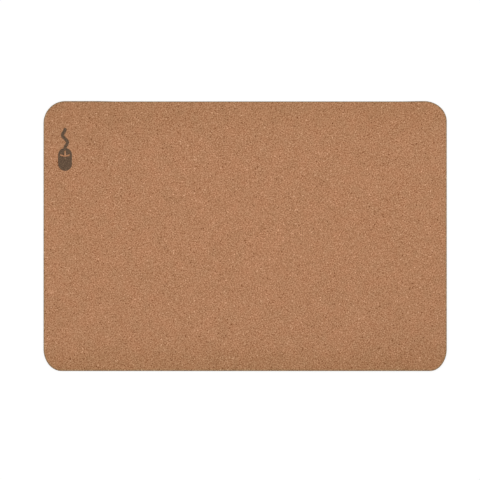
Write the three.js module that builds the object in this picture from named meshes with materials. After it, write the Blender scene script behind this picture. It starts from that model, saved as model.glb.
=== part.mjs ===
// A mouse mat with a cork face: foam rubber, a bonding film, a cork sheet and one small printed mark.
// Lengths are in millimetres. The origin is the middle of the underside, on the desk.
// +X runs right along the mat, +Y away from the person who uses it, and +Z up.

import * as THREE from 'three';

// The cut outline
const matLength = 300;
const matDepth = 200.8;
const farCornerRadius = 15.9;
const nearCornerRadius = 14.5;
const cornerSteps = 16;

// The layers, from the desk up
const rubberThickness = 1.9;
const filmThickness = 0.1;
const corkThickness = 1;

// How far the cork stops short of the rubber's cut edge, and the film behind the cork
const corkSetback = 0.14;
const filmRecess = 0.12;

// The eased edges: the rubber's lower one and the cork's upper one
const rubberEdgeEase = 0.2;
const corkEdgeEase = 0.3;
const easeSteps = 4;

// The printed mark: a solid pictogram of a computer mouse and its cable, with a gap round the buttons
const inkThickness = 0.08;
const mouseWidth = 10.4;
const mouseHeight = 17;
const gapWidth = 1.1;
const gapToSide = 1.5;
const gapToTop = 2;
const gapDip = 0.8;
const gapSteps = 6;
const cableHeight = 15;
const cableWidth = 2.4;
const cableSway = 2.4;
const cableSteps = 28;
const arcSegments = 10;

// Where the mark stands, from the mat's left and far edges
const markFromLeftEdge = 10.9;
const markFromFarEdge = 19.9;

const quarterTurn = Math.PI / 2;
const halfTurn = Math.PI;
const fullTurn = 2 * Math.PI;

const filmBase = rubberThickness;
const corkBase = filmBase + filmThickness;
const corkTop = corkBase + corkThickness;

const rubberMaterial = new THREE.MeshStandardMaterial({ color: 0x1d1c1c, roughness: 0.92, metalness: 0 });
const filmMaterial = new THREE.MeshStandardMaterial({ color: 0x8c7350, roughness: 0.6, metalness: 0 });
const corkMaterial = new THREE.MeshStandardMaterial({ color: 0xb2805f, roughness: 0.88, metalness: 0 });
const inkMaterial = new THREE.MeshStandardMaterial({ color: 0x5f5041, roughness: 0.8, metalness: 0 });

// The mat's outline drawn in by an inset, anticlockwise from the near right corner.
// The corner arcs keep their centres, so a drawn-in corner has a smaller radius.
function outline(inset) {
  const corners = [
    { sideX: 1, sideY: -1, radius: nearCornerRadius, from: -quarterTurn },
    { sideX: 1, sideY: 1, radius: farCornerRadius, from: 0 },
    { sideX: -1, sideY: 1, radius: farCornerRadius, from: quarterTurn },
    { sideX: -1, sideY: -1, radius: nearCornerRadius, from: halfTurn },
  ];
  const points = [];
  for (const { sideX, sideY, radius, from } of corners) {
    const centreX = sideX * (matLength / 2 - radius);
    const centreY = sideY * (matDepth / 2 - radius);
    for (let step = 0; step <= cornerSteps; step += 1) {
      const angle = from + (quarterTurn * step) / cornerSteps;
      const reach = radius - inset;
      points.push(new THREE.Vector2(centreX + reach * Math.cos(angle), centreY + reach * Math.sin(angle)));
    }
  }
  return points;
}

// One closed layer: the outline at each station of its edge, from the bottom up, capped from the middle.
function layer(stations) {
  const rings = stations.map(({ height, inset }) => outline(inset).map(({ x, y }) => [x, y, height]));
  const count = rings[0].length;
  const lowMiddle = rings.length * count;
  const highMiddle = lowMiddle + 1;
  const topRing = (rings.length - 1) * count;
  const triangles = [];
  for (let point = 0; point < count; point += 1) {
    const next = (point + 1) % count;
    triangles.push(lowMiddle, next, point);
    triangles.push(highMiddle, topRing + point, topRing + next);
    for (let ring = 0; ring < rings.length - 1; ring += 1) {
      const below = ring * count;
      const above = below + count;
      triangles.push(below + point, below + next, above + next);
      triangles.push(below + point, above + next, above + point);
    }
  }
  const middles = [[0, 0, stations[0].height], [0, 0, stations[stations.length - 1].height]];
  const geometry = new THREE.BufferGeometry();
  geometry.setAttribute('position', new THREE.Float32BufferAttribute([...rings, middles].flat(2), 3));
  geometry.setIndex(triangles);
  geometry.computeVertexNormals();
  return geometry;
}

// The stations of a quarter round between a layer's side and its top or bottom face.
// A way of 1 climbs to a top face, and a way of -1 comes up from a bottom face.
function easedEdge(faceHeight, sideInset, ease, way) {
  const stations = [];
  for (let step = 0; step <= easeSteps; step += 1) {
    const angle = (quarterTurn * step) / easeSteps;
    stations.push({
      height: faceHeight - way * ease * (1 - Math.sin(angle)),
      inset: sideInset + ease * (1 - Math.cos(angle)),
    });
  }
  return way > 0 ? stations : stations.reverse();
}

function subpart(name, geometry, material) {
  const mesh = new THREE.Mesh(geometry, material);
  mesh.name = name;
  return mesh;
}

// The foam rubber backing, which grips the desk. It shows as a dark hairline round the cork.
function rubberBase() {
  const stations = [...easedEdge(0, 0, rubberEdgeEase, -1), { height: rubberThickness, inset: 0 }];
  return subpart('rubber_base', layer(stations), rubberMaterial);
}

// The film that bonds the cork to the rubber, a hair behind the cork's cut edge.
function adhesiveFilm() {
  const inset = corkSetback + filmRecess;
  const stations = [{ height: filmBase, inset }, { height: corkBase, inset }];
  return subpart('adhesive_film', layer(stations), filmMaterial);
}

// The cork facing, with its upper edge rubbed round.
function corkSheet() {
  const foot = { height: corkBase, inset: corkSetback };
  const stations = [foot, ...easedEdge(corkTop, corkSetback, corkEdgeEase, 1)];
  return subpart('cork_sheet', layer(stations), corkMaterial);
}

// One side of the cable: its middle line bends in an S and leaves the mouse, and ends, straight up.
function cableSide(side, foot, tip) {
  const points = [];
  for (let step = 0; step <= cableSteps; step += 1) {
    const along = step / cableSteps;
    const turn = halfTurn * along;
    const sway = cableSway * Math.sin(2 * turn) * Math.sin(turn);
    const bend = 2 * Math.cos(2 * turn) * Math.sin(turn) + Math.sin(2 * turn) * Math.cos(turn);
    const slope = halfTurn * cableSway * bend;
    const tangent = new THREE.Vector2(slope, tip - foot).normalize();
    const height = foot + (tip - foot) * along;
    const reach = (side * cableWidth) / 2;
    points.push(new THREE.Vector2(sway + reach * tangent.y, height - reach * tangent.x));
  }
  return points;
}

// Places along the cross gap's upper or lower side, from one distance off the middle to another.
function gapSide(from, to, reach, height) {
  const points = [];
  for (let step = 0; step <= gapSteps; step += 1) {
    const across = from + ((to - from) * step) / gapSteps;
    points.push(new THREE.Vector2(across, height - gapDip * (1 - (across / reach) ** 2)));
  }
  return points;
}

// The gap in the ink that sets off the buttons: one gap across the mouse, which dips in the middle,
// and one that runs up from it. Their ends are round.
function buttonGap(height) {
  const edge = gapWidth / 2;
  const reach = mouseWidth / 2 - gapToSide - edge;
  const gap = new THREE.Path();
  const follow = (points) => points.forEach(({ x, y }) => gap.lineTo(x, y));
  gap.absarc(-reach, height, edge, quarterTurn, halfTurn + quarterTurn, false);
  follow(gapSide(-reach, reach, reach, height - edge).slice(1, -1));
  gap.absarc(reach, height, edge, -quarterTurn, quarterTurn, false);
  follow(gapSide(reach, edge, reach, height + edge).slice(1));
  gap.absarc(0, mouseHeight - gapToTop - edge, edge, 0, halfTurn, false);
  follow(gapSide(-edge, -reach, reach, height + edge).slice(0, -1));
  gap.closePath();
  return gap;
}

// The pictogram's outline: a mouse with two round ends, and its cable. Its origin is its lowest point.
function mousePictogram() {
  const radius = mouseWidth / 2;
  const highCentre = mouseHeight - radius;
  const cableAngle = Math.acos(cableWidth / mouseWidth);
  const cableFoot = highCentre + radius * Math.sin(cableAngle);
  const cableTip = mouseHeight + cableHeight - cableWidth / 2;

  const shape = new THREE.Shape();
  const follow = (points) => points.forEach(({ x, y }) => shape.lineTo(x, y));
  shape.absarc(0, radius, radius, halfTurn, fullTurn, false);
  shape.absarc(0, highCentre, radius, 0, cableAngle, false);
  follow(cableSide(1, cableFoot, cableTip).slice(1, -1));
  shape.absarc(0, cableTip, cableWidth / 2, 0, halfTurn, false);
  follow(cableSide(-1, cableFoot, cableTip).reverse().slice(1, -1));
  shape.absarc(0, highCentre, radius, halfTurn - cableAngle, halfTurn, false);
  shape.closePath();
  shape.holes.push(buttonGap(highCentre));
  return shape;
}

// The mark, one film of ink on the cork near the far left corner.
function printedMark() {
  const settings = { depth: inkThickness, bevelEnabled: false, curveSegments: arcSegments };
  const mark = subpart('printed_mark', new THREE.ExtrudeGeometry(mousePictogram(), settings), inkMaterial);
  mark.position.set(
    -matLength / 2 + markFromLeftEdge + mouseWidth / 2,
    matDepth / 2 - markFromFarEdge - mouseHeight - cableHeight,
    corkTop,
  );
  return mark;
}

const mousePad = new THREE.Group();
mousePad.add(rubberBase(), adhesiveFilm(), corkSheet(), printedMark());

export default mousePad;
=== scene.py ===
# A cork-faced mouse mat, seen from straight above on a white floor.
# Blender works in metres, so a length in millimetres is written times mm. A size without it feeds a
# texture, and textures work in millimetres. A contrast is how strongly something moves a tone between
# 0, its darkest, and 1, its palest.

import math

import bpy
import numpy as np
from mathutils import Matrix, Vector
from mathutils.geometry import delaunay_2d_cdt
from mathutils.kdtree import KDTree


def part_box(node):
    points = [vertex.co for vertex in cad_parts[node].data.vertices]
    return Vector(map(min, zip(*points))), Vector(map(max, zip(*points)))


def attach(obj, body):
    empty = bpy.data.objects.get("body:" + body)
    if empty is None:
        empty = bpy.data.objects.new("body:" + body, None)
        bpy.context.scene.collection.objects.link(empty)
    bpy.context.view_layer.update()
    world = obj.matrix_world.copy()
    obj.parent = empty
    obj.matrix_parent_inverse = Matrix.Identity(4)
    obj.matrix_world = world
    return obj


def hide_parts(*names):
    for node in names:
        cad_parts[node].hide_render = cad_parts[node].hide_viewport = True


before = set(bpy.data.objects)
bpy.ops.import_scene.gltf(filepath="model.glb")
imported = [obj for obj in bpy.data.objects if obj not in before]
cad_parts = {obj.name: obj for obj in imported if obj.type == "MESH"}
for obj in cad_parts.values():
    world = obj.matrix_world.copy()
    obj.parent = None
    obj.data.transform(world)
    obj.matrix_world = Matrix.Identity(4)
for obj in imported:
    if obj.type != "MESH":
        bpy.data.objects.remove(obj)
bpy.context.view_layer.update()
mm = 0.001

# The camera
# It looks straight down through a long lens from about two metres up, so that every row shows the mat
# at one width. Its scale and place follow from where the mat's edges lie in the 480 pixel picture.
picture_width_px = 480
mat_left_px = 43.48
mat_right_px = 446.78
mat_far_px = 101.16
mat_near_px = 370.96
lens_length = 200 * mm
sensor_width = 36 * mm

rubber_low, rubber_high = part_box("rubber_base")
cork_low, cork_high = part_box("cork_sheet")
pixel = (rubber_high.x - rubber_low.x) / (mat_right_px - mat_left_px)
camera_data = bpy.data.cameras.new("camera")
camera_data.lens = lens_length / mm
camera_data.sensor_width = sensor_width / mm
camera = bpy.data.objects.new("camera", camera_data)
camera.location = (
    (picture_width_px / 2 - (mat_left_px + mat_right_px) / 2) * pixel,
    ((mat_far_px + mat_near_px) / 2 - picture_width_px / 2) * pixel,
    rubber_high.z + picture_width_px * pixel * lens_length / sensor_width,
)
bpy.context.scene.collection.objects.link(camera)
bpy.context.scene.camera = camera

# The foam rubber base
# A sheet of black natural foam rubber. Its underside is embossed with small nubs that grip the desk,
# and the die that cuts the whole laminate to its outline opens the foam's cells along the side.
far_edge_dip = 0.26 * mm
far_dip_start = -103 * mm
far_dip_end = 124 * mm
far_dip_ramp = 20 * mm
# Each corner's side of the middle, and how far its curve runs along the mat's length and depth
corner_reaches = {
    (1, -1): (12.4 * mm, 16.5 * mm),
    (1, 1): (16.9 * mm, 15.1 * mm),
    (-1, 1): (16.2 * mm, 16.5 * mm),
    (-1, -1): (13.4 * mm, 16.5 * mm),
}
rubber_spacing = 1.15 * mm
rubber_edge_ease = 0.2 * mm
rubber_side_rows = 4
rubber_ease_steps = 2
nub_height = 0.22 * mm
cell_size = 0.22
cell_floor_share = 0.1
cell_rim_share = 0.55
cell_depth = 0.06 * mm
torn_side_size = 0.7
rubber_dust_size = 9
row_gap_share = math.sqrt(3) / 2
clearance_share = 0.55
points_at_once = 400
whole_hull = 0
merge_distance = 1e-9
quarter_turn = math.pi / 2
third_turn = 2 * math.pi / 3
sharp_angle = math.radians(50)
map_margin = 0.004
map_strip_count = 4
map_strip_height = 0.022
map_patch_height = 0.03


def cut_line(spacing):
    """Places about a spacing apart along the die's cut, anticlockwise, and the outward way at each."""
    half_size = np.array(rubber_high.to_2d())
    arcs = []
    for number, (side, reach) in enumerate(corner_reaches.items()):
        centre = side * (half_size - reach)
        steps = round(quarter_turn * np.mean(reach) / spacing)
        angles = quarter_turn * (number - 1 + np.arange(steps + 1) / steps)
        around = np.column_stack([np.cos(angles), np.sin(angles)])
        outward = around / reach
        outward /= np.linalg.norm(outward, axis=1, keepdims=True)
        arcs.append((centre + around * reach, outward))
    places, ways = [], []
    for (arc, outward), (next_arc, _) in zip(arcs, arcs[1:] + arcs[:1]):
        run = next_arc[0] - arc[-1]
        steps = round(np.linalg.norm(run) / spacing)
        shares = np.arange(1, steps)[:, None] / steps
        places += [arc, arc[-1] + run * shares]
        ways += [outward, np.repeat(outward[-1:], steps - 1, axis=0)]
    places, ways = np.concatenate(places), np.concatenate(ways)
    far_edge = places[:, 1] > half_size[1] - far_edge_dip
    across = places[far_edge, 0]
    from_end = np.minimum(across - far_dip_start, far_dip_end - across)
    dip = np.clip(from_end / far_dip_ramp + 0.5, 0, 1)
    places[far_edge, 1] -= far_edge_dip * dip * dip * (3 - 2 * dip)
    return places, ways


def inside(points, tails, heads):
    """Which points lie inside rings with these side ends, where a line to the right crosses an odd
    number of sides."""
    answers = []
    for part in np.array_split(points, 1 + len(points) // points_at_once):
        x, y = part.T[:, :, None]
        spans = (tails[:, 1] > y) != (heads[:, 1] > y)
        rise = np.where(spans, heads[:, 1] - tails[:, 1], 1)
        crossing = tails[:, 0] + (heads[:, 0] - tails[:, 0]) * (y - tails[:, 1]) / rise
        answers.append((spans & (x < crossing)).sum(1) % 2 == 1)
    return np.concatenate(answers)


def filled(rings, spacing, scatter, seed):
    """Points and triangles that fill an outer ring round any inner ones. The rings' own points come
    first, and between them lies a triangular lattice, scattered by a share of its spacing."""
    tails = np.concatenate(rings)
    heads = np.concatenate([np.roll(ring, -1, axis=0) for ring in rings])
    finder = KDTree(len(tails))
    for number, (x, y) in enumerate(tails):
        finder.insert((x, y, 0), number)
    finder.balance()
    gaps = np.array([spacing, spacing * row_gap_share])
    first, last = np.floor(tails.min(0) / gaps), np.ceil(tails.max(0) / gaps)
    row, column = np.mgrid[first[1]:last[1] + 1, first[0]:last[0] + 1]
    lattice = np.column_stack([(column + row % 2 / 2).ravel(), row.ravel()]) * gaps
    lattice += np.random.default_rng(seed).uniform(-scatter, scatter, lattice.shape) * spacing
    lattice = lattice[inside(lattice, tails, heads)]
    clear = [finder.find((x, y, 0))[2] > spacing * clearance_share for x, y in lattice]
    points = np.concatenate([tails, lattice[clear]])
    borders = []
    for ring in rings:
        start = len(borders)
        borders += [(start + k, start + (k + 1) % len(ring)) for k in range(len(ring))]
    vectors = [Vector(point) for point in points]
    made = delaunay_2d_cdt(vectors, borders, [], whole_hull, merge_distance, True)
    triangles = np.array([[made[3][corner][0] for corner in face] for face in made[2]])
    spans_edge = (triangles < len(tails)).all(1)
    kept = ~spans_edge
    kept[spans_edge] = inside(points[triangles[spans_edge]].mean(1), tails, heads)
    return points, triangles[kept]


def add_mesh(name, vertices, faces, wall, map_places=None):
    """A new smooth mesh object. Its wall attribute is 1 at a vertex of the cut side and 0 elsewhere."""
    mesh = bpy.data.meshes.new(name)
    mesh.from_pydata(np.asarray(vertices).tolist(), [], faces)
    if map_places is not None:
        map_layer = mesh.uv_layers.new(name="OFBake")
        map_layer.uv.foreach_set("vector", np.array(map_places, np.float32).ravel())
    wall_layer = mesh.attributes.new("wall", "FLOAT", "POINT")
    wall_layer.data.foreach_set("value", np.array(wall, np.float32))
    mesh.shade_smooth()
    mesh.set_sharp_from_angle(angle=sharp_angle)
    piece = bpy.data.objects.new(name, mesh)
    bpy.context.scene.collection.objects.link(piece)
    return piece


def closed_sheet(name, stations, spacing, scatter=0, seed=0):
    """A closed sheet in the cut outline. Its stations are heights and insets of rims, from the rim of
    the finely meshed face over the side to the rim of the plain face. Its map is unwrapped for baking:
    the fine face on top, strips of the side below it, and a small patch for the plain face."""
    line, outward = cut_line(spacing)
    count = len(line)
    points, triangles = filled([line - outward * stations[0][1]], spacing, scatter, seed)
    layers = [np.column_stack([points, np.full(len(points), stations[0][0])])]
    for height, inset in stations[1:]:
        layers.append(np.column_stack([line - outward * inset, np.full(count, height)]))
    rims = [0] + [len(points) + count * k for k in range(len(stations) - 1)]
    depths = np.cumsum([0] + [math.dist(a, b) for a, b in zip(stations, stations[1:])])
    strips_top = map_strip_count * map_strip_height
    face_foot = strips_top + map_patch_height
    face_size = np.array([1 - 2 * map_margin, 1 - map_margin - face_foot])
    face_map = (map_margin, face_foot) + (points / rubber_high.to_2d() + 1) / 2 * face_size

    def side_map(strip, station, step):
        across = map_strip_count * step / count - strip
        down = depths[station] / depths[-1] * (map_strip_height - 2 * map_margin)
        return map_margin + across * face_size[0], strip * map_strip_height + map_margin + down

    faces = [tuple(triangle) for triangle in triangles]
    places = list(face_map[triangles.ravel()])
    for station, (rim, next_rim) in enumerate(zip(rims, rims[1:])):
        for step in range(count):
            after = (step + 1) % count
            strip = map_strip_count * step // count
            faces.append((rim + step, next_rim + step, next_rim + after, rim + after))
            corners = ((station, step), (station + 1, step), (station + 1, step + 1), (station, step + 1))
            places += [side_map(strip, at, along) for at, along in corners]
    faces.append(tuple(rims[-1] + step for step in reversed(range(count))))
    patch_middle = (0.5, strips_top + map_patch_height / 2)
    places += list(patch_middle + outward[::-1] * (map_patch_height / 2 - map_margin))
    if stations[0][0] < stations[-1][0]:
        starts = np.cumsum([0] + [len(face) for face in faces])
        places = [place for a, b in zip(starts, starts[1:]) for place in places[a:b][::-1]]
        faces = [face[::-1] for face in faces]
    wall = [0] * len(points) + [1] * count * (len(stations) - 1)
    return add_mesh(name, np.concatenate(layers), faces, wall, places)


def eased_rim(face_height, ease, inset, steps, way):
    """Stations of a quarter round from a face to the side. A way of 1 leads down from an upper face."""
    angles = quarter_turn * np.arange(steps + 1) / steps
    drops, draws = ease * (1 - np.cos(angles)), ease * (1 - np.sin(angles))
    return [(face_height - way * drop, inset + draw) for drop, draw in zip(drops, draws)]


def side_rows(start, end, inset, rows):
    """Stations evenly spaced on the straight side, past its first height and up to its last."""
    return [(start + (end - start) * (row + 1) / rows, inset) for row in range(rows)]


def put(tree, kind, inputs=None, **settings):
    """A new node, with its settings, and its inputs given or linked by name or number."""
    node = tree.nodes.new(kind)
    for setting, value in settings.items():
        setattr(node, setting, value)
    for socket, value in (inputs or {}).items():
        if isinstance(value, bpy.types.NodeSocket):
            tree.links.new(value, node.inputs[socket])
        else:
            node.inputs[socket].default_value = value
    return node


def calc(tree, operation, *values):
    """The result of a Math node."""
    return put(tree, "ShaderNodeMath", dict(enumerate(values)), operation=operation).outputs[0]


def weighed(tree, start, parts):
    """A start value, with each part's distance from its middle added by its weight."""
    total = start
    for part, middle, weight in parts:
        away = calc(tree, "SUBTRACT", part, middle)
        total = calc(tree, "ADD", total, calc(tree, "MULTIPLY", away, weight))
    return total


def vector_calc(tree, operation, first, second):
    """The result of a Vector Math node. The second value of SCALE is a number."""
    inputs = {0: first, "Scale" if operation == "SCALE" else 1: second}
    node = put(tree, "ShaderNodeVectorMath", inputs, operation=operation)
    return node.outputs["Value" if operation == "DOT_PRODUCT" else "Vector"]


def spread(tree, value, low, high, new_low=0, new_high=1, kind="SMOOTHSTEP"):
    """A value taken from one range to another, and held inside it."""
    inputs = {0: value, 1: low, 2: high, 3: new_low, 4: new_high}
    return put(tree, "ShaderNodeMapRange", inputs, interpolation_type=kind).outputs[0]


def noise(tree, place, size, detail=2, roughness=0.5, output=0, dimensions="3D"):
    """Smooth noise about 0.5, with features of a size in millimetres. Output 1 is three in a colour."""
    inputs = {"Vector": place, "Scale": 1 / size, "Detail": detail, "Roughness": roughness}
    return put(tree, "ShaderNodeTexNoise", inputs, noise_dimensions=dimensions).outputs[output]


def geometry_tree(name, sizes):
    """A Geometry Nodes tree with inputs of these names, and its group input's sockets."""
    tree = bpy.data.node_groups.new(name, "GeometryNodeTree")
    tree.interface.new_socket("Geometry", in_out="INPUT", socket_type="NodeSocketGeometry")
    tree.interface.new_socket("Geometry", in_out="OUTPUT", socket_type="NodeSocketGeometry")
    kinds = {"Material": "NodeSocketMaterial", "Surface": "NodeSocketObject"}
    for size in sizes:
        tree.interface.new_socket(size, in_out="INPUT", socket_type=kinds.get(size, "NodeSocketFloat"))
    return tree, put(tree, "NodeGroupInput").outputs


def finish_tree(tree, size, shifts):
    """The end of a tree: the vertices are shifted, the wall attribute goes, and the material is set."""
    shifted = put(tree, "GeometryNodeSetPosition", {"Geometry": size["Geometry"], **shifts}).outputs[0]
    real = put(tree, "GeometryNodeRealizeInstances", {"Geometry": shifted}).outputs[0]
    clean = put(tree, "GeometryNodeRemoveAttribute", {"Geometry": real, "Name": "wall"}).outputs[0]
    inputs = {"Geometry": clean, "Material": size["Material"]}
    coloured = put(tree, "GeometryNodeSetMaterial", inputs).outputs[0]
    put(tree, "NodeGroupOutput", {"Geometry": coloured})
    return tree


def wall_value(tree):
    """How much a vertex belongs to the cut side, 0 or 1."""
    return put(tree, "GeometryNodeInputNamedAttribute", {"Name": "wall"}).outputs[0]


def upward(tree, distance):
    """The way straight up, by a distance."""
    return put(tree, "ShaderNodeCombineXYZ", {"Z": distance}).outputs[0]


def inward(tree, distance):
    """The level way into the sheet, against the surface normal, by a distance."""
    way = vector_calc(tree, "MULTIPLY", put(tree, "GeometryNodeInputNormal").outputs[0], (-1, -1, 0))
    return vector_calc(tree, "SCALE", way, distance)


def in_millimetres(tree):
    """A vertex's place, in millimetres."""
    return vector_calc(tree, "SCALE", put(tree, "GeometryNodeInputPosition").outputs[0], 1 / mm)


def shape_with(piece, tree, sizes):
    """Runs a tree on a piece with these sizes, and keeps the result as the piece's plain mesh."""
    modifier = piece.modifiers.new(tree.name, "NODES")
    modifier.node_group = tree
    for socket in tree.interface.items_tree:
        if socket.name in sizes:
            modifier[socket.identifier] = sizes[socket.name]
    graph = bpy.context.evaluated_depsgraph_get()
    shaped = piece.evaluated_get(graph)
    mesh = bpy.data.meshes.new_from_object(shaped, preserve_all_data_layers=True, depsgraph=graph)
    piece.modifiers.clear()
    piece.data = mesh


def colour(red, green, blue):
    """A screen colour of 8 bits, not near black, as the linear values that a shader takes."""
    return (*[((part / 255 + 0.055) / 1.055) ** 2.4 for part in (red, green, blue)], 1)


def ramp(tree, value, stops):
    """Colours by value, from a list of places and colours."""
    node = put(tree, "ShaderNodeValToRGB", {0: value})
    while len(node.color_ramp.elements) < len(stops):
        node.color_ramp.elements.new(1)
    for element, (place, shade) in zip(node.color_ramp.elements, stops):
        element.position = place
        element.color = shade
    return node.outputs["Color"]


def matt_material(name, roughness, gloss):
    """A material with a matt finish, its tree, and the place in millimetres."""
    material = bpy.data.materials.new(name)
    material.use_nodes = True
    tree = material.node_tree
    shader = tree.nodes["Principled BSDF"]
    shader.inputs["Roughness"].default_value = roughness
    shader.inputs["Specular IOR Level"].default_value = gloss
    place = put(tree, "ShaderNodeTexCoord").outputs["Object"]
    return material, tree, vector_calc(tree, "SCALE", place, 1 / mm)


def dress(tree, tone, height, depth):
    """Gives the shader its colour, and a bump of a depth from a height between 0 and 1."""
    shader = tree.nodes["Principled BSDF"]
    bump = put(tree, "ShaderNodeBump", {"Strength": 1, "Distance": depth, "Height": height})
    tree.links.new(tone, shader.inputs["Base Color"])
    tree.links.new(bump.outputs[0], shader.inputs["Normal"])


def foam_rubber_material():
    """Near-black rubber with open cells and patches of dust. Painted shade darkens the floors of its cells
    and makes it darkest where it meets the desk.
    """
    material, tree, place = matt_material("foam rubber", roughness=0.9, gloss=0.3)
    inputs = {"Vector": place, "Scale": 1 / cell_size}
    cells = put(tree, "ShaderNodeTexVoronoi", inputs).outputs["Distance"]
    # Painted shade darkens the floors of the cells.
    pit = spread(tree, cells, cell_floor_share, cell_rim_share)
    dust = noise(tree, place, rubber_dust_size, detail=6, roughness=0.7)
    height = put(tree, "ShaderNodeSeparateXYZ", {0: place}).outputs["Z"]
    # Painted shade darkens the lowest part, where the rubber meets the desk.
    off_desk = spread(tree, height, 0, nub_height / mm)
    level = weighed(tree, 0.5, ((pit, 0.5, 0.4), (dust, 0.5, 0.6), (off_desk, 1, 0.8)))
    tone = ramp(tree, level, [(0, colour(12, 11, 11)), (0.5, colour(26, 25, 25)), (1, colour(60, 58, 56))])
    dress(tree, tone, pit, cell_depth)
    return material


def embossing_tree():
    """Leaves a nub at every third point of the lower face's lattice, presses the rest in, and opens
    cells along the side. Three waves a third of a turn apart peak together on each nub."""
    tree, size = geometry_tree("embossing", ("Point spacing", "Nub height", "Cell depth", "Material"))
    place = put(tree, "GeometryNodeInputPosition").outputs[0]
    wall = wall_value(tree)
    wave = calc(tree, "DIVIDE", 2 * third_turn, size["Point spacing"])
    total = 0
    for third in range(3):
        angle = third * third_turn
        along = vector_calc(tree, "DOT_PRODUCT", place, (math.cos(angle), math.sin(angle), 0))
        total = calc(tree, "ADD", total, calc(tree, "COSINE", calc(tree, "MULTIPLY", along, wave)))
    trough, peak = -3 / 2, 3
    off_nub = spread(tree, total, trough, peak, 1, 0, "LINEAR")
    web = calc(tree, "MULTIPLY", off_nub, calc(tree, "SUBTRACT", 1, wall))
    up = upward(tree, calc(tree, "MULTIPLY", web, size["Nub height"]))
    cells = calc(tree, "MULTIPLY", noise(tree, in_millimetres(tree), torn_side_size), wall)
    cut_in = inward(tree, calc(tree, "MULTIPLY", cells, size["Cell depth"]))
    return finish_tree(tree, size, {"Offset": vector_calc(tree, "ADD", up, cut_in)})


rubber_stations = eased_rim(rubber_low.z, rubber_edge_ease, 0, rubber_ease_steps, -1)
rubber_stations += side_rows(rubber_stations[-1][0], rubber_high.z, 0, rubber_side_rows)
foam_rubber = closed_sheet("foam_rubber", rubber_stations, rubber_spacing)
shape_with(foam_rubber, embossing_tree(), {
    "Point spacing": rubber_spacing,
    "Nub height": nub_height,
    "Cell depth": cell_depth,
    "Material": foam_rubber_material(),
})
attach(foam_rubber, "root")
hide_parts("rubber_base")

# The bonding film
# Contact adhesive, rolled out between the cork and the rubber. It dries to a thin amber film whose edge,
# a hair behind the cork's, is uneven where the press squeezed it.
film_spacing = 2 * mm
film_edge_play = 0.16 * mm
film_swing_size = 5
film_streak_size = 2.5


def bonding_film_material():
    """Dry amber adhesive, streaked where the roller left more or less of it."""
    material, tree, place = matt_material("bonding film", roughness=0.55, gloss=0.5)
    streaks = noise(tree, place, film_streak_size, detail=4)
    stops = [(0.3, colour(112, 88, 58)), (0.5, colour(140, 115, 80)), (0.7, colour(163, 138, 100))]
    tone = ramp(tree, streaks, stops)
    dress(tree, tone, streaks, film_edge_play)
    return material


def squeezing_tree():
    """Moves the film's edge in and out."""
    tree, size = geometry_tree("squeezing", ("Edge play", "Material"))
    swing = calc(tree, "SUBTRACT", noise(tree, in_millimetres(tree), film_swing_size), 0.5)
    reach = calc(tree, "MULTIPLY", calc(tree, "MULTIPLY", swing, size["Edge play"]), wall_value(tree))
    return finish_tree(tree, size, {"Offset": inward(tree, reach)})


film_low, film_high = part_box("adhesive_film")
film_inset = rubber_high.x - film_high.x
film_stations = [(film_high.z, film_inset), (film_low.z, film_inset)]
bonding_film = closed_sheet("bonding_film", film_stations, film_spacing)
shape_with(bonding_film, squeezing_tree(), {
    "Edge play": film_edge_play,
    "Material": bonding_film_material(),
})
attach(bonding_film, "root")
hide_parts("adhesive_film")

# The cork facing
# Granules of cork bark, ground fine, pressed with a binder into a block and sliced to a millimetre.
# Each granule keeps its own shade, some tear out as the blade passes, and the edge is rubbed round.
cork_spacing = 0.9 * mm
cork_scatter_share = 0.25
cork_seed = 11
cork_edge_ease = 0.3 * mm
cork_ease_steps = 3
cork_side_rows = 4
grain_size = 0.45
grain_warp_size = 1.2
grain_contrast = 0.37
grain_relief = 0.05 * mm
dust_size = 0.35
dust_contrast = 0.26
granule_size = 0.85
granule_turn = math.radians(33)
granule_contrast = 0.63
batch_size = 15
batch_contrast = 0.11
seam_width_share = 0.12
seam_contrast = 0.07
fleck_spacing = 1.3
fleck_warp_size = 0.6
fleck_core_share = 0.25
fleck_reach_share = 0.42
fleck_contrast = 0.55
dark_fleck_share = 0.055
pale_fleck_share = 0.04
fade_share = 0.01
pit_spacing = 2.6
pit_reach_share = 0.22
pit_depth = 0.15 * mm
bow_size = 45
bow_depth = 0.04 * mm
crumble_size = 1.4
crumble_depth = 0.2 * mm
cork_bump_size = 0.2
cork_bump_depth = 0.04 * mm
# Painted shade along the two long edges: where it starts at the far and near edge and where it ends, in
# millimetres from the middle, how dark it is, how much red and blue it takes out, and its share at the far
# edge.
far_shade_start = 66
near_shade_start = 72
edge_shade_end = 104
edge_shade_contrast = 0.07
edge_shade_red_loss = 0.034
edge_shade_blue_loss = 0.032
far_edge_shade_share = 0.55
cork_middle_tone = (178.1, 127.6, 91.9)
cork_tone_steps = ((0, -62), (0.25, -27), (0.5, 0), (0.75, 23), (1, 48))
least_reach = 0.01
# The cork is darker and less red near the cut: how far in, in millimetres, the share of that at full
# strength, how much darker, and how much less red.
dark_rim_width = 1.4
dark_rim_core_share = 0.6
dark_rim_contrast = 0.03
dark_rim_red_loss = 0.16
red_patch_size = 8
red_play = 0.12


def moved(tree, place, size, reach):
    """A place shifted by noise with features of a size, so that what is drawn there looks uneven."""
    swing = vector_calc(tree, "SUBTRACT", noise(tree, place, size, output=1), (0.5, 0.5, 0.5))
    return vector_calc(tree, "ADD", place, vector_calc(tree, "SCALE", swing, reach))


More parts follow.
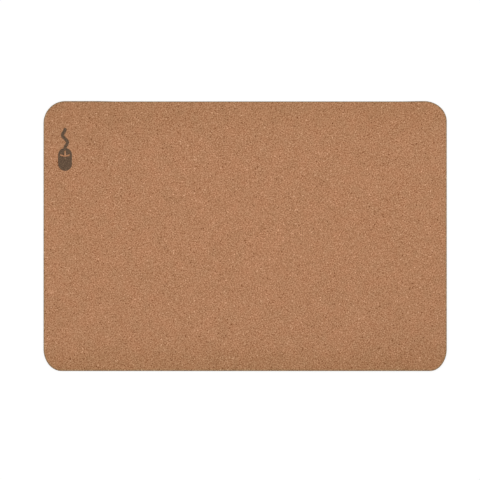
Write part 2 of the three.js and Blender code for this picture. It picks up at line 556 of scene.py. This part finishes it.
def cork_grains(tree, place):
    """Three random numbers of the grain at a place, and how near its seam is, from 0 to 1."""
    inputs = {"Vector": moved(tree, place, grain_warp_size, grain_size), "Scale": 1 / grain_size}
    numbers = put(tree, "ShaderNodeTexVoronoi", inputs).outputs["Color"]
    edge = put(tree, "ShaderNodeTexVoronoi", inputs, feature="DISTANCE_TO_EDGE").outputs["Distance"]
    seam = spread(tree, edge, 0, seam_width_share, 1, 0)
    return put(tree, "ShaderNodeSeparateXYZ", {0: numbers}).outputs, seam


def bark_flecks(tree, place):
    """1 on a few flecks of dark bark, -1 on a few pale ones, and 0 elsewhere."""
    inputs = {"Vector": moved(tree, place, fleck_warp_size, fleck_spacing), "Scale": 1 / fleck_spacing}
    cells = put(tree, "ShaderNodeTexVoronoi", inputs).outputs
    chance = put(tree, "ShaderNodeSeparateXYZ", {0: cells["Color"]}).outputs[0]
    dark = spread(tree, chance, 1 - dark_fleck_share, 1 - dark_fleck_share + fade_share)
    pale = spread(tree, chance, pale_fleck_share - fade_share, pale_fleck_share, 1, 0)
    near = spread(tree, cells["Distance"], fleck_core_share, fleck_reach_share, 1, 0)
    return calc(tree, "MULTIPLY", calc(tree, "SUBTRACT", dark, pale), near)


def corner_reach(tree, across, along, axis):
    """The reach, along one axis, of the corner nearest to a place. The place is in millimetres."""
    sides = []
    for side in (-1, 1):
        left, right = [corner_reaches[end, side][axis] / mm for end in (-1, 1)]
        sides.append(spread(tree, across, -1, 1, left, right))
    return spread(tree, along, -1, 1, *sides)


def slant(tree, across, along):
    """The length of a line that runs so far across and so far along."""
    squares = [calc(tree, "POWER", part, 2) for part in (across, along)]
    return calc(tree, "SQRT", calc(tree, "ADD", *squares))


def from_cut(tree, place):
    """How far a place near the edge lies inside the die's cut, in millimetres. Round a corner it is
    measured out from the middle of the curve."""
    across, along, _ = put(tree, "ShaderNodeSeparateXYZ", {0: place}).outputs
    past, shares = [], []
    for axis, part in enumerate((across, along)):
        reach = corner_reach(tree, across, along, axis)
        beyond = calc(tree, "SUBTRACT", calc(tree, "ABSOLUTE", part), rubber_high[axis] / mm)
        past.append(calc(tree, "MAXIMUM", calc(tree, "ADD", beyond, reach), least_reach))
        shares.append(calc(tree, "DIVIDE", past[axis], reach))
    from_centre = slant(tree, *past)
    to_cut = calc(tree, "DIVIDE", from_centre, slant(tree, *shares))
    return calc(tree, "SUBTRACT", to_cut, from_centre)


def painted_edge_shade(tree, place):
    """How much painted shade darkens a place near the two long edges. The near edge gets the most."""
    along = put(tree, "ShaderNodeSeparateXYZ", {0: place}).outputs["Y"]
    near = spread(tree, along, -near_shade_start, -edge_shade_end)
    return calc(tree, "ADD", near, spread(tree, along, far_shade_start, edge_shade_end, 0, far_edge_shade_share))


def cork_tone(tree, place):
    """The cork's lightness, about 0.5, and its grain numbers and seams."""
    numbers, seam = cork_grains(tree, place)
    inputs = {"Vector": place, "Angle": granule_turn}
    turned = put(tree, "ShaderNodeVectorRotate", inputs, rotation_type="Z_AXIS").outputs[0]
    tone = weighed(tree, 0.5, (
        (numbers[0], 0.5, grain_contrast),
        (noise(tree, place, dust_size), 0.5, dust_contrast),
        (noise(tree, turned, granule_size, detail=0, dimensions="2D"), 0.5, granule_contrast),
        (noise(tree, place, batch_size, detail=4, roughness=0.8), 0.5, batch_contrast),
        # Painted shade, darker towards the two long edges
        (painted_edge_shade(tree, place), 0, -edge_shade_contrast),
        (bark_flecks(tree, place), 0, -fleck_contrast),
        (seam, 0, -seam_contrast),
    ))
    return tone, numbers, seam


def cork_material():
    """Cork of many shades, redder and browner in patches, darker and less red within about 1.4 mm of the
    cut, and darker along the two long edges with painted shade.
    """
    material, tree, place = matt_material("agglomerated cork", roughness=0.88, gloss=0.25)
    tone, numbers, seam = cork_tone(tree, place)
    stops = [(at, colour(*[part + step for part in cork_middle_tone])) for at, step in cork_tone_steps]
    # The cork is darker and less red within about 1.4 mm of the cut.
    core_width = dark_rim_core_share * dark_rim_width
    edge = spread(tree, from_cut(tree, place), core_width, dark_rim_width, 1, 0)
    tone = weighed(tree, tone, ((edge, 0, -dark_rim_contrast),))
    # The painted shade along the two long edges also takes some red and blue out.
    edge_shading = painted_edge_shade(tree, place)
    red = weighed(tree, 1, (
        (noise(tree, place, red_patch_size), 0.5, red_play),
        (edge_shading, 0, -edge_shade_red_loss),
        (edge, 0, -dark_rim_red_loss),
    ))
    blue = weighed(tree, 1, ((edge_shading, 0, -edge_shade_blue_loss),))
    tint = put(tree, "ShaderNodeCombineXYZ", {"X": red, "Y": 1, "Z": blue}).outputs[0]
    shade = vector_calc(tree, "MULTIPLY", ramp(tree, tone, stops), tint)
    height = weighed(tree, 0.5, (
        (numbers[0], 0.5, 0.5),
        (noise(tree, place, cork_bump_size, detail=3), 0.5, 0.6),
        (seam, 0, -0.4),
    ))
    dress(tree, shade, height, cork_bump_depth)
    return material


def slicing_tree():
    """Lowers the grains of the upper face by chance, tears a few out, bows the sheet a little, and
    crumbles its cut side inwards."""
    sizes = ("Grain relief", "Pit depth", "Bow depth", "Crumble depth", "Material")
    tree, size = geometry_tree("slicing", sizes)
    place, wall = in_millimetres(tree), wall_value(tree)
    numbers, _ = cork_grains(tree, place)
    inputs = {"Vector": place, "Scale": 1 / pit_spacing}
    from_pit = put(tree, "ShaderNodeTexVoronoi", inputs).outputs["Distance"]
    depth = weighed(tree, 0, (
        (numbers[0], 0, size["Grain relief"]),
        (spread(tree, from_pit, 0, pit_reach_share, 1, 0), 0, size["Pit depth"]),
        (noise(tree, place, bow_size, detail=1), 0, size["Bow depth"]),
    ))
    on_face = calc(tree, "SUBTRACT", wall, 1)
    down = upward(tree, calc(tree, "MULTIPLY", depth, on_face))
    lumps = spread(tree, noise(tree, place, crumble_size), 0.45, 0.8)
    torn = calc(tree, "MULTIPLY", lumps, size["Crumble depth"])
    crumbled = inward(tree, calc(tree, "MULTIPLY", torn, wall))
    return finish_tree(tree, size, {"Offset": vector_calc(tree, "ADD", down, crumbled)})


cork_inset = rubber_high.x - cork_high.x
cork_stations = eased_rim(cork_high.z, cork_edge_ease, cork_inset, cork_ease_steps, 1)
cork_stations += side_rows(cork_stations[-1][0], cork_low.z, cork_inset, cork_side_rows)
cork_facing = closed_sheet("cork_facing", cork_stations, cork_spacing, cork_scatter_share, cork_seed)
shape_with(cork_facing, slicing_tree(), {
    "Grain relief": grain_relief,
    "Pit depth": pit_depth,
    "Bow depth": bow_depth,
    "Crumble depth": crumble_depth,
    "Material": cork_material(),
})
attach(cork_facing, "root")
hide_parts("cork_sheet")

# The printed mark
# One pass of dark brown ink, screen printed on the cork near the far left corner: a solid pictogram of
# a computer mouse and its cable. The ink sinks between the grains, so they show through it.
ink_spacing = 0.3 * mm
mouse_height = 17 * mm
gap_width = 1.1 * mm
gap_to_side = 1.5 * mm
gap_to_top = 2 * mm
gap_dip = 0.8 * mm
gap_steps = 20
cable_width = 2.4 * mm
cable_sway = 2.4 * mm
cable_steps = 56
ink_above = 0.03 * mm
ink_below = 0.02 * mm
ink_bleed = 0.12 * mm
bleed_size = 0.8
shortest_side_share = 0.25
ray_height = 10 * mm

ink_low, ink_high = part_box("printed_mark")


def arc(across, up, radius, start, end):
    """Places about an ink spacing apart on an arc, in the mouse's own frame."""
    angles = np.linspace(start, end, 1 + math.ceil(abs(end - start) * radius / ink_spacing))
    return np.column_stack([across + radius * np.cos(angles), up + radius * np.sin(angles)])


def cable_side(side, foot, tip):
    """One side of the cable, whose middle line bends in an S and leaves the mouse straight."""
    along = np.linspace(0, 1, cable_steps + 1)[1:-1]
    turn = math.pi * along
    sway = cable_sway * np.sin(2 * turn) * np.sin(turn)
    slope = math.pi * cable_sway * (2 * np.cos(2 * turn) * np.sin(turn) + np.sin(2 * turn) * np.cos(turn))
    rise = tip - foot
    reach = side * cable_width / 2 / np.hypot(slope, rise)
    return np.column_stack([sway + reach * rise, foot + rise * along - reach * slope])


def gap_side(start, end, reach, up):
    """One side of the cross gap, from one distance off the middle to another. It dips in the middle."""
    across = np.linspace(start, end, gap_steps + 1)
    return np.column_stack([across, up - gap_dip * (1 - (across / reach) ** 2)])


def closed_ring(*stretches):
    """Stretches joined into a ring, with long gaps divided and doubled places left out."""
    joined = np.concatenate(stretches)
    places = []
    for place, after in zip(joined, np.roll(joined, -1, axis=0)):
        gap = np.linalg.norm(after - place)
        steps = max(1, round(gap / ink_spacing)) if gap > shortest_side_share * ink_spacing else 0
        places += [place + (after - place) * step / steps for step in range(steps)]
    return np.array(places)


def pictogram_rings():
    """The outline of the mouse and its cable, and the gap in the ink that sets off the buttons."""
    radius, half = (ink_high.x - ink_low.x) / 2, cable_width / 2
    top = mouse_height - radius
    cable_angle = math.acos(half / radius)
    foot = top + radius * math.sin(cable_angle)
    tip = ink_high.y - ink_low.y - half
    outline = closed_ring(
        arc(0, radius, radius, math.pi, 2 * math.pi),
        arc(0, top, radius, 0, cable_angle),
        cable_side(1, foot, tip),
        arc(0, tip, half, 0, math.pi),
        cable_side(-1, foot, tip)[::-1],
        arc(0, top, radius, math.pi - cable_angle, math.pi),
    )
    edge = gap_width / 2
    reach = radius - gap_to_side - edge
    gap = closed_ring(
        arc(-reach, top, edge, quarter_turn, 3 * quarter_turn),
        gap_side(-reach, reach, reach, top - edge),
        arc(reach, top, edge, -quarter_turn, quarter_turn),
        gap_side(reach, edge, reach, top + edge),
        arc(0, mouse_height - gap_to_top - edge, edge, 0, math.pi),
        gap_side(-edge, -reach, reach, top + edge),
    )
    return [ring + ((ink_low.x + ink_high.x) / 2, ink_low.y) for ring in (outline, gap)]


def closed_film(name, rings, spacing):
    """A closed film inside the first ring and round the others, with its two faces a hair apart."""
    points, triangles = filled(rings, spacing, 0, 0)
    count = len(points)
    vertices = np.column_stack([np.tile(points, (2, 1)), np.repeat([ink_high.z, ink_low.z], count)])
    faces = [tuple(face) for face in triangles] + [tuple(face[::-1] + count) for face in triangles]
    sides = {(face[k], face[(k + 1) % 3]) for face in triangles.tolist() for k in range(3)}
    rim = sorted((tail, head) for tail, head in sides if (head, tail) not in sides)
    faces += [(tail, tail + count, head + count, head) for tail, head in rim]
    on_edge = np.arange(count) < sum(len(ring) for ring in rings)
    return add_mesh(name, vertices, faces, np.tile(on_edge, 2))


def ink_material():
    """Dark brown ink, through which the tones of the cork below still show."""
    material, tree, place = matt_material("dark ink", roughness=0.75, gloss=0.3)
    # The ink takes the cork's tone, with its painted shade along the two long edges.
    tone, numbers, seam = cork_tone(tree, place)
    shade = ramp(tree, tone, [
        (0.15, colour(71, 51, 34)),
        (0.5, colour(91, 69, 50)),
        (0.8, colour(112, 88, 66)),
        (0.95, colour(150, 116, 88)),
    ])
    height = weighed(tree, 0.5, ((numbers[0], 0.5, 0.5), (seam, 0, -0.4)))
    dress(tree, shade, height, ink_above)
    return material


def printing_tree():
    """Lays the film on the surface below it, its upper face above and its lower face in the surface,
    and makes its edge bleed unevenly."""
    names = ("Surface", "Middle height", "Ink above", "Ink below", "Bleed", "Material")
    tree, size = geometry_tree("printing", names)
    place = put(tree, "GeometryNodeInputPosition").outputs[0]
    cork = put(tree, "GeometryNodeObjectInfo", {"Object": size["Surface"]}).outputs["Geometry"]
    start = vector_calc(tree, "ADD", vector_calc(tree, "MULTIPLY", place, (1, 1, 0)), (0, 0, ray_height))
    cast = put(tree, "GeometryNodeRaycast", {"Target Geometry": cork, "Source Position": start}).outputs
    height = put(tree, "ShaderNodeSeparateXYZ", {0: place}).outputs["Z"]
    is_upper = calc(tree, "GREATER_THAN", height, size["Middle height"])
    thickness = calc(tree, "ADD", size["Ink above"], size["Ink below"])
    lift = calc(tree, "SUBTRACT", calc(tree, "MULTIPLY", is_upper, thickness), size["Ink below"])
    wander = noise(tree, vector_calc(tree, "SCALE", start, 1 / mm), bleed_size, output=1)
    swing = vector_calc(tree, "MULTIPLY", vector_calc(tree, "SUBTRACT", wander, (0.5, 0.5, 0.5)), (1, 1, 0))
    bleed = vector_calc(tree, "SCALE", swing, calc(tree, "MULTIPLY", size["Bleed"], wall_value(tree)))
    offset = vector_calc(tree, "ADD", upward(tree, lift), bleed)
    return finish_tree(tree, size, {"Position": cast["Hit Position"], "Offset": offset})


ink_print = closed_film("ink_print", pictogram_rings(), ink_spacing)
shape_with(ink_print, printing_tree(), {
    "Surface": cork_facing,
    "Middle height": (ink_low.z + ink_high.z) / 2,
    "Ink above": ink_above,
    "Ink below": ink_below,
    "Bleed": ink_bleed,
    "Material": ink_material(),
})
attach(ink_print, "root")
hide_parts("printed_mark")

# The floor and the light
# A plain white floor, in an even white room, with one long soft lamp over the mat's middle. To the
# camera the floor is white, and only the mat's own shadow shows on it.
floor_gap = 0.05 * mm
floor_half_width = 4
floor_white = 0.8
seen_glow = 0.84
seen_shadow_share = 0.2
room_light = 0.45
lamp_place = (0.03, 0.035, 0.5)
lamp_length = 1.1
lamp_width = 0.3
lamp_turn = math.radians(20)
lamp_power = 2.4


def seen_plainly(tree):
    """1 for what the camera, a reflection or a clear material sees, and 0 for light that falls."""
    path = put(tree, "ShaderNodeLightPath").outputs
    seen = calc(tree, "MAXIMUM", path["Is Camera Ray"], path["Is Glossy Ray"])
    return calc(tree, "MAXIMUM", seen, path["Is Transmission Ray"])


def grey(value):
    """A grey of a linear value."""
    return (value, value, value, 1)


def floor_finish():
    """Plain white paint, which looks pure white wherever no shadow falls on it."""
    material = bpy.data.materials.new("white floor")
    material.use_nodes = True
    tree = material.node_tree
    tree.nodes.remove(tree.nodes["Principled BSDF"])
    paint = put(tree, "ShaderNodeBsdfDiffuse", {"Color": grey(floor_white)}).outputs[0]
    shaded = put(tree, "ShaderNodeBsdfDiffuse", {"Color": grey(seen_shadow_share)}).outputs[0]
    glow = put(tree, "ShaderNodeEmission", {"Strength": seen_glow}).outputs[0]
    seen = put(tree, "ShaderNodeAddShader", {0: shaded, 1: glow}).outputs[0]
    surface = put(tree, "ShaderNodeMixShader", {0: seen_plainly(tree), 1: paint, 2: seen}).outputs[0]
    tree.links.new(surface, tree.nodes["Material Output"].inputs["Surface"])
    return material


floor_height = rubber_low.z - floor_gap
floor_sides = [(-1, -1), (1, -1), (1, 1), (-1, 1)]
floor_places = [(x * floor_half_width, y * floor_half_width, floor_height) for x, y in floor_sides]
floor_mesh = bpy.data.meshes.new("floor")
floor_mesh.from_pydata(floor_places, [], [(0, 1, 2, 3)])
floor_mesh.materials.append(floor_finish())
floor = bpy.data.objects.new("floor", floor_mesh)
bpy.context.scene.collection.objects.link(floor)

room = bpy.data.worlds.new("white room")
room.use_nodes = True
background = room.node_tree.nodes["Background"]
background.inputs["Color"].default_value = grey(1)
strength = spread(room.node_tree, seen_plainly(room.node_tree), 0, 1, room_light, 1, "LINEAR")
room.node_tree.links.new(strength, background.inputs["Strength"])
bpy.context.scene.world = room

lamp_data = bpy.data.lights.new("soft lamp", "AREA")
lamp_data.energy = lamp_power
lamp_data.shape = "RECTANGLE"
lamp_data.size = lamp_length
lamp_data.size_y = lamp_width
lamp = bpy.data.objects.new("soft lamp", lamp_data)
lamp.location = lamp_place
lamp.rotation_euler.z = lamp_turn
lamp.visible_camera = False
bpy.context.scene.collection.objects.link(lamp)

bpy.context.scene.view_settings.view_transform = "Standard"
